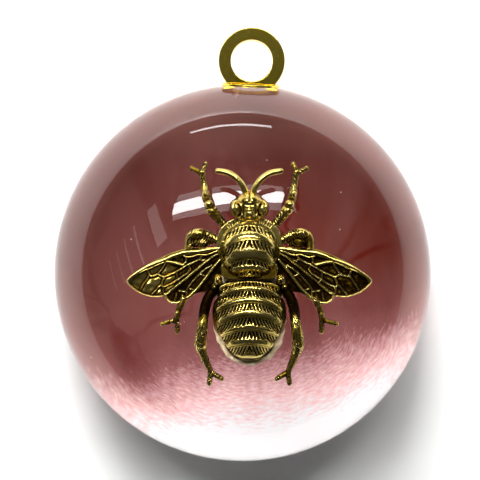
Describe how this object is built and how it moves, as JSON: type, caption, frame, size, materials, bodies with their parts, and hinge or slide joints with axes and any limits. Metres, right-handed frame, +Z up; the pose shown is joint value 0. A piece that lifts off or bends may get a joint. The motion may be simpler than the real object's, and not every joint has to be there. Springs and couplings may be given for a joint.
{
  "type": "hanging bauble with bee",
  "caption": "Clear flattened resin dome with a cast antique-brass bee glued on its front, pink paint brushed on its back, and a gilt hanging ring on a plate and peg at the top.",
  "frame": {"origin": "the point inside the top of the hanging ring where the bauble hangs on its pin", "axes": "+Z up, +X to the viewer's right, -Y out of the dome's bulging front where the bee is, +Y out of the flat painted back"},
  "size_m": [0.076, 0.041, 0.0878],
  "materials": {
    "clear_resin": "clear, polished",
    "pink_paint": "brushed acrylic paint, matte",
    "antique_brass": "cast, dark recesses, rubbed bright on the high places",
    "clear_glue": "clear, uneven",
    "gilt": "gilt, stamped, slightly rubbed"
  },
  "bodies": {
    "root": {"clear_dome": "clear_resin", "pink_backing": "pink_paint", "brass_bee": "antique_brass", "glue_pad": "clear_glue", "hanging_ring": "gilt", "ring_plate": "gilt", "ring_peg": "gilt"}
  },
  "joints": []
}
